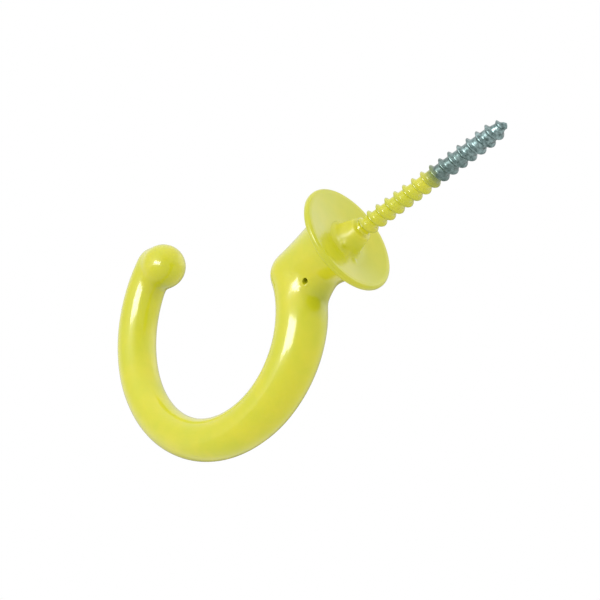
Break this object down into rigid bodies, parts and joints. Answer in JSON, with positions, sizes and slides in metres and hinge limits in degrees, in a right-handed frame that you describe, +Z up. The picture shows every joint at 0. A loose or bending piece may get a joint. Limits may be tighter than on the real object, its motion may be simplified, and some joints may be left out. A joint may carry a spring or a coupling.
{
  "type": "screw-in wall hook",
  "caption": "Round rod bent into an open loop with a ball end, on a dished rosette with a coarse wood screw, for holding back a curtain or hanging things from a wall.",
  "frame": {"origin": "centre of the rosette's rim, on the wall surface", "axes": "+Y into the wall along the screw, -Y out into the room, +Z up, X = 0 is the plane that the hook bends in"},
  "size_m": [0.022, 0.1039, 0.0545],
  "materials": {
    "yellow_lacquer": "gloss",
    "zinc_plated_steel": "satin"
  },
  "bodies": {
    "root": {"cast_hook": "yellow_lacquer", "rosette": "yellow_lacquer", "collar": "yellow_lacquer", "wood_screw": "zinc_plated_steel"}
  },
  "joints": []
}
